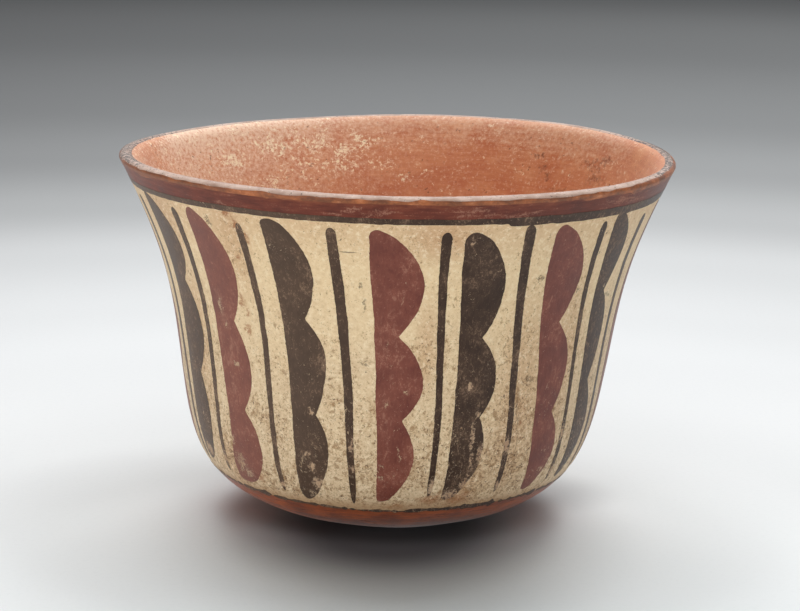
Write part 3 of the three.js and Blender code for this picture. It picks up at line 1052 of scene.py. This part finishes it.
black_wear = [
    (21.4, 38, 0.8, 6.5), (21.9, 30.5, 0.8, 4), (22.4, 44.5, 0.8, 2), (19.6, 53, 1.6, 2.5),
    (24.2, 33, 1.2, 5), (17.5, 19.5, 3.4, 3.5), (21.5, 22, 2.6, 3.5), (23.4, 87.6, 0.7, 0.9),
    (16.1, 96, 0.6, 0.8), (11.9, 22.5, 1.6, 4.5), (-34.4, 97.5, 1.4, 2.5), (-22.6, 31.5, 2.0, 1.0),
    (-21.4, 27.5, 1.0, 3.0), (-20.4, 22.5, 2.2, 3), (-20.8, 44.6, 1.3, 1.6), (-28.5, 36.5, 0.6, 2.5),
    (-10.2, 35.5, 1.1, 4), (-10, 28, 1.1, 2), (32.1, 34, 1.3, 4.5), (32.4, 21, 1.6, 2.5),
    (53.2, 33.5, 1.3, 4.5), (54.2, 22, 1.4, 4), (-31.9, 20, 1, 3), (-54.2, 24, 1.6, 5), (-64, 24, 4, 4),
]
black_finish = painted("worn_black_slip", (BLACK_BROWN, BLACK, BLACK_DUST_AND_SHEEN), black_wear, 0.0, 0.26)
put_on(black_finish, *black_paint)

# %% The dark red paint
RED_DEEP = shade(104, 51, 41)
RED_LIGHT = shade(131, 73, 58)
RED_DUST_AND_SHEEN = shade(166, 118, 98)

red_wear = [
    (-46.2, 72, 1.6, 6), (-45, 66.5, 1.0, 2.5), (-46.5, 24.5, 3.6, 4.5), (-44, 21, 3, 3),
    (-48, 31, 1.4, 3), (-1.1, 66, 0.35, 2.4), (2.0, 34, 0.6, 2.2), (2.7, 31.5, 0.5, 1.6),
    (2.1, 79, 0.15, 2.2), (45.2, 82.5, 0.15, 1.6), (-43, 55, 1.6, 1.2), (47.5, 24, 1.6, 0.8),
    (43.2, 50.5, 0.3, 2.2), (-1.5, 48, 1.2, 1.8), (3.5, 52, 1, 1.4),
]
red_finish = painted("worn_dark_red_slip", (RED_DEEP, RED_LIGHT, RED_DUST_AND_SHEEN), red_wear, 0.03, 0.32)
put_on(red_finish, *red_paint)

# %% [markdown]
# ### The dark red band
# The band is the same slip, wiped on round the rim and not filled in with a small brush. Its streaks run
# level, an orange tinge comes down from the strip above, and fingers have left pale level scuffs.

# %% The band
BAND_RED = shade(118, 58, 42)
BAND_DARK = shade(90, 42, 31)
BAND_ORANGE = shade(142, 80, 52)
BAND_SCUFF = shade(176, 130, 108)

band_scuffs = [
    (-5, 104.6, 14, 1.2), (16, 105.6, 9, 1.8), (26, 104.2, 9, 1.6), (-37, 104.5, 5, 1.4),
    (52, 105, 12, 2.5), (150, 105, 20, 2),
]

band_finish, point = new_finish("wiped_dark_red_slip")
streaks = noise(drawn_out(point, 8, 8, 1), 0.9, 5, 0.7)
cloud = noise(point, 9, 5, 0.65)
pores = noise(point, 0.5, 3, 0.8)
colour = mix(BAND_DARK, BAND_RED, (cloud - 0.5) * 2.4 + 0.55 + (streaks - 0.5) * 2)
orange_edge = height_of(point) + (cloud - 0.5) * 5 + (streaks - 0.5) * 5
colour = mix(colour, BAND_ORANGE, orange_edge.step(106, 109) * 0.6)
scuff_places = marks(roughened(wall_place(point), point, 5, 8), band_scuffs, 0.0)
scuffs = (streaks * 0.5 + pores * 0.5 + scuff_places * 0.14).step(0.56, 0.68)
colour = mix(colour, BAND_SCUFF, scuffs * 0.5)
fired(colour, 0.5 + 0.35 * (cloud - 0.5) + 0.1 * scuffs, relief(streaks, 0.07), 0.22)
put_on(band_finish, rim_band)

# %% [markdown]
# ### The lip
# The orange strip has run and worn, and is browner at its left end. The crest above it is rubbed down to
# the clay, which is a pale pinkish grey with dark specks of grit and soot. The sooty specks crowd at the
# left and the right.

# %% The orange strip
STRIP_ORANGE = shade(178, 104, 60)
STRIP_BROWN = shade(112, 66, 42)
STRIP_PALE = shade(206, 150, 114)
CLAY_DARK = shade(60, 48, 43)

strip_finish, point = new_finish("worn_orange_slip_on_the_lip")
streaks = noise(drawn_out(point, 4, 4, 1), 0.9, 4, 0.7)
cloud = noise(point, 5, 4, 0.65)
colour = mix(STRIP_BROWN, STRIP_ORANGE, (cloud - 0.5) * 3.2 + 0.42 + (streaks - 0.5) * 1.6)
colour = mix(colour, STRIP_PALE, (streaks + (cloud - 0.5) * 0.4).step(0.56, 0.76) * 0.45)
colour = mix(colour, STRIP_BROWN, across(point).step(-41, -77) * 0.5)
specks = (noise(point, 0.8, 4, 0.7) + (cloud - 0.5) * 0.25).step(0.62, 0.74)
colour = mix(colour, CLAY_DARK, specks * 0.55)
fired(colour, 0.55 + 0.3 * (cloud - 0.5), relief(streaks, 0.08), 0.35)
put_on(strip_finish, lip_slip)

# %% The bare clay
CLAY = shade(200, 172, 156)
CLAY_GREY = shade(158, 126, 108)
CLAY_PALE = shade(226, 208, 196)

clay_finish, point = new_finish("bare_worn_clay")
grit = noise(point, 1.1, 5, 0.72)
cloud = noise(point, 6, 4, 0.6)
colour = mix(CLAY_GREY, CLAY, (cloud - 0.5) * 3 + 0.6)
from_the_front = abs(turn_of(point))
soot = from_the_front.step(52, 80) * from_the_front.step(130, 105) * 0.16
colour = mix(colour, CLAY_DARK, (grit + soot + (cloud - 0.5) * 0.25).step(0.6, 0.66) * 0.9)
colour = mix(colour, CLAY_PALE, crumbs(point, 1.2, 0.0) * 0.6)
fired(colour, 0.6 + 0.3 * (grit - 0.5), relief(grit, 0.12), 0.4)
put_on(clay_finish, clay_body)

# %% [markdown]
# ### Burnished orange slip
# The base was rubbed with a smooth stone while it turned, which left long level streaks that shine. The
# inside was burnished less and used more: it is mottled, paler at its left and near its top, where fingers
# and food have rubbed it, and whitish where something scoured its back wall. The paleness near the top is
# also a painted highlight, where the flaring wall catches the light.

# %% The base
BASE_ORANGE = shade(178, 88, 38)
BASE_DEEP = shade(118, 54, 24)
BASE_STAIN = shade(70, 40, 26)

base_finish, point = new_finish("burnished_orange_base")
streaks = noise(drawn_out(point, 14, 14, 1), 0.7, 5, 0.7)
cloud = noise(point, 9, 5, 0.65)
colour = mix(BASE_DEEP, BASE_ORANGE, (cloud - 0.5) * 3.4 + 0.5 + (streaks - 0.5) * 3.6)
stains = (noise(drawn_out(point, 3, 3, 1), 1.6, 5, 0.7) + (cloud - 0.5) * 0.5).step(0.58, 0.74)
colour = mix(colour, BASE_STAIN, stains * 0.55)
colour = mix(colour, BASE_STAIN, (height_of(point) + (streaks - 0.5) * 5).step(12.5, 15.5) * 0.45)
roughness = 0.36 + 0.6 * (streaks - 0.5) + 0.15 * stains
fired(colour, roughness, relief(streaks, 0.06, relief(cloud, 0.15)), 0.35)
put_on(base_finish, base_slip)

# %% Colours and marks of the inside
INSIDE_ORANGE = shade(214, 148, 105)
INSIDE_DEEP = shade(195, 118, 79)
INSIDE_PALE = shade(237, 204, 176)
SCOURED = shade(252, 236, 202)
INSIDE_STAIN = shade(118, 68, 46)

scoured_places = [
    (-31, 101, 8, 5), (-22, 101.5, 9, 5), (-12, 99, 8, 5), (-8, 101.5, 8, 3.5), (-25, 95, 8, 4),
    (-15, 94, 9, 4), (3, 90.5, 6, 2.5), (-45, 98, 6, 3), (-35, 91, 8, 3), (-3, 95, 5, 2),
    (8, 93.5, 4, 1.5),
]
inside_stains = [
    (40.5, 97.5, 2.2, 1.6), (42, 95, 2.4, 1.8), (38, 101, 1.6, 1.2), (62, 103, 5, 2.4),
    (47, 91, 4, 1.5), (57, 100.5, 5, 2.5), (60, 97, 6, 2.5),
]
print("scoured places:", len(scoured_places), "stains:", len(inside_stains))

# %% The inside
inside_finish, point = new_finish("burnished_orange_inside")
streaks = noise(drawn_out(point, 9, 9, 1), 1.0, 5, 0.7)
cloud = noise(point, 12, 6, 0.68)
grain = noise(point, 1.1, 5, 0.76)
patches = (noise(point, 4, 4, 0.6) - 0.5) * 0.4
colour = mix(INSIDE_DEEP, INSIDE_ORANGE, (cloud - 0.5) * 3 + 0.5 + (streaks - 0.5) * 2.2)

worn_side = across(point).step(12, -72)
uneven_height = height_of(point) + (cloud - 0.5) * 14 + (streaks - 0.5) * 14 + (grain - 0.5) * 8
# Paler near the top: rubbing, and also a painted highlight where the flare catches the light.
rubbed_top_and_painted_highlight = uneven_height.step(98, 108)
ends = (abs(across(point)) + (cloud - 0.5) * 20).step(66, 77)
rubbed = worn_side * (0.66 - 0.4 * ends) + rubbed_top_and_painted_highlight * (0.3 - 0.24 * ends) - ends * 0.2
colour = mix(colour, INSIDE_PALE, rubbed + (grain - 0.5) * (1.8 + 1.8 * worn_side))

uneven_wall = roughened(wall_place(point, -1), point, 4, 10)
scour = marks(uneven_wall, scoured_places, 0.0)
colour = mix(colour, SCOURED, (grain + scour * 0.13 + patches).step(0.58, 0.74) * 0.55)
scour_crowd = scour * 0.13 + worn_side * 0.06 - 0.06 + patches * 0.8
colour = mix(colour, SCOURED, crumbs(point, 1.0, scour_crowd) * 0.85)
colour = mix(colour, INSIDE_DEEP, crumbs(point, 1.3, worn_side * 0.05 - 0.02) * 0.6)
stained = marks(uneven_wall, inside_stains, 0.0) * noise(point, 1.2, 5, 0.7).step(0.36, 0.62)
stained = stained.or_more(crumbs(point, 1.8, (cloud - 0.5) * 0.4 - 0.05))
colour = mix(colour, INSIDE_STAIN, stained * 0.8)

roughness = 0.55 + 0.35 * (streaks - 0.5) + 0.15 * (grain - 0.5)
fired(colour, roughness, relief(streaks, 0.07, relief(grain, 0.08)), 0.35)
put_on(inside_finish, inside_slip)

# %% [markdown]
# ## Floor, light and air
# The bowl stands on a pale paper sweep whose colour carries a painted pool of light. It falls off as painted
# shade into grey behind the bowl, most at the far left. The fall-off is in the colour of the paper, so the
# lamps can stay plain. Near the bowl the paper is a trace cooler, because the bowl throws warm light on it,
# and a painted shadow makes it greyer just under the bowl and beside its foot, where soft lamps alone leave
# the shadow too pale.

# %% The floor
FLOOR_REACH = 4.0
FLOOR_DROP = 0.00002
FLOOR_SIDES = 96

edge = np.linspace(0, 2 * np.pi, FLOOR_SIDES, endpoint=False)
drop = np.full(FLOOR_SIDES, -FLOOR_DROP)
floor_points = np.stack([FLOOR_REACH * np.cos(edge), FLOOR_REACH * np.sin(edge), drop], axis=1)
floor_mesh = bpy.data.meshes.new("paper_floor")
floor_mesh.from_pydata(floor_points.tolist(), [], [list(range(FLOOR_SIDES))])
paper = bpy.data.objects.new("paper_floor", floor_mesh)
bpy.context.scene.collection.objects.link(paper)
print("the floor is", 2 * FLOOR_REACH, "m across")

# %% The paper
# Greys of a painted pool of light, by distance from its middle in front of the bowl. The low grey at its
# middle is painted shadow.
PAINTED_POOL_GREYS = [
    (0.0, 217), (0.06, 236), (0.12, 236), (0.18, 220), (0.25, 225), (0.32, 221), (0.4, 214),
    (0.52, 203), (0.64, 178), (0.8, 153), (1.0, 137), (1.3, 137), (1.7, 163),
]
PAPER_FAR = PAINTED_POOL_GREYS[-1][0]
PAINTED_FAR_SHADE = shade(60, 60, 62)
SHADOW_AND_TOOTH_GREY = shade(96, 96, 98)
POOL_MIDDLE = (15, -100, 0)
PAINTED_SHADOW_MIDDLE = (0, -18.5, 0)
SIDE_SHADOW_MIDDLE = (47, 19, 0)


def paper_grey(place, seen):
    """The paper's colour at a distance in metres from the middle of the painted pool of light, where it is
    seen as a grey.
    """
    warm_bounce = 2 + 4 * max(0, 1 - place / 0.2)
    return shade(seen - warm_bounce, seen, seen + 1)


paper_finish, point = new_finish("paper_sweep")
distance = point.vector("SUBTRACT", POOL_MIDDLE).length() * MM
share = distance.node("ShaderNodeMapRange", None, {"Value": distance, "From Max": PAPER_FAR})
stops = [(place / PAPER_FAR, paper_grey(place, seen)) for place, seen in PAINTED_POOL_GREYS]
grey = share.node("ShaderNodeValToRGB", {"stops": stops}, {"Fac": share})
# Painted shade: the paper darkens far from the bowl, most at the left.
grey = mix(grey, PAINTED_FAR_SHADE, (0.3 - across(point) * MM) * 0.6 * distance.step(0.3, 0.8))
# Painted shadow: the paper is greyed under the front of the bowl and just beside its foot.
painted_shadow_under_bowl = drawn_out(point, 1, 1.3, 1).vector("SUBTRACT", PAINTED_SHADOW_MIDDLE).length()
grey = mix(grey, SHADOW_AND_TOOTH_GREY, painted_shadow_under_bowl.step(56, 18))
painted_shadow_beside_foot = point.vector("SUBTRACT", SIDE_SHADOW_MIDDLE).length()
grey = mix(grey, SHADOW_AND_TOOTH_GREY, painted_shadow_beside_foot.step(28, 4) * 0.36)
paper_tooth = noise(point, 1.5, 3, 0.6)
# The same grey also mottles the paper's tooth, which is the paper's own grain.
grey = mix(grey, SHADOW_AND_TOOTH_GREY, (paper_tooth - 0.5) * 0.12)
fired(grey, 0.85 + 0.1 * (paper_tooth - 0.5), relief(paper_tooth, 0.03), 0.2, 0.0)
put_on(paper_finish, paper)

# %% [markdown]
# Most of the light is soft and comes from above and a little behind, which puts the shadow under the bowl
# and towards the camera. Cards at the front and at both sides lift the wall, and the paper throws light
# back up at it. Each lamp is a rectangle that faces the middle of the bowl.

# %% Lamps
BOWL_MIDDLE = Vector((0, 0, 0.05))
LAMPS = [
    # name, place, width and depth in metres, power in watts
    ("back_softbox", (0, 1.07, 0.95), 1.2, 0.5, 9.1),
    ("right_softbox", (0.42, 0.42, 1.32), 0.5, 0.5, 5.7),
    ("left_softbox", (-0.42, 0.42, 1.32), 0.5, 0.5, 4.5),
    ("overhead_softbox", (0, 0.24, 1.43), 1.0, 0.5, 5.4),
    ("front_softbox", (0, -1.07, 0.95), 1.0, 0.5, 4.5),
    ("front_card", (-0.5, -1.28, 0.41), 1.0, 0.3, 1.6),
    ("right_card", (1.1, -0.8, 0.3), 0.6, 0.2, 3.1),
    ("low_card", (-1.07, -0.9, 0.05), 0.6, 0.06, 6.3),
]

for name, place, width, depth, power in LAMPS:
    lamp = bpy.data.lights.new(name, "AREA")
    lamp.shape = "RECTANGLE"
    lamp.size = width
    lamp.size_y = depth
    lamp.energy = power
    box = bpy.data.objects.new(name, lamp)
    box.location = place
    box.rotation_euler = (BOWL_MIDDLE - Vector(place)).to_track_quat("-Z", "Y").to_euler()
    bpy.context.scene.collection.objects.link(box)
print("lamps:", len(LAMPS))

# %% [markdown]
# The air round the set gives a dim, even light. What is seen of it directly or in a reflection is a
# somewhat lighter grey, like the far end of the sweep.

# %% The air
AIR_LIGHT = shade(82, 82, 83)
AIR_SEEN = shade(108, 109, 112)

world = bpy.data.worlds.new("studio_air")
world.use_nodes = True
world.node_tree.nodes.clear()
bpy.context.scene.world = world
seen_directly, in_gloss, through_glass = [
    Socket(world.node_tree).node("ShaderNodeLightPath", output=ray)
    for ray in ("Is Camera Ray", "Is Glossy Ray", "Is Transmission Ray")
]
air_colour = mix(AIR_LIGHT, AIR_SEEN, seen_directly.or_more(in_gloss).or_more(through_glass))
air = air_colour.node("ShaderNodeBackground", None, {"Color": air_colour, "Strength": 1.0})
air.node("ShaderNodeOutputWorld", None, {"Surface": air})
print("air nodes:", len(world.node_tree.nodes))

bpy.context.scene.view_settings.view_transform = "Standard"
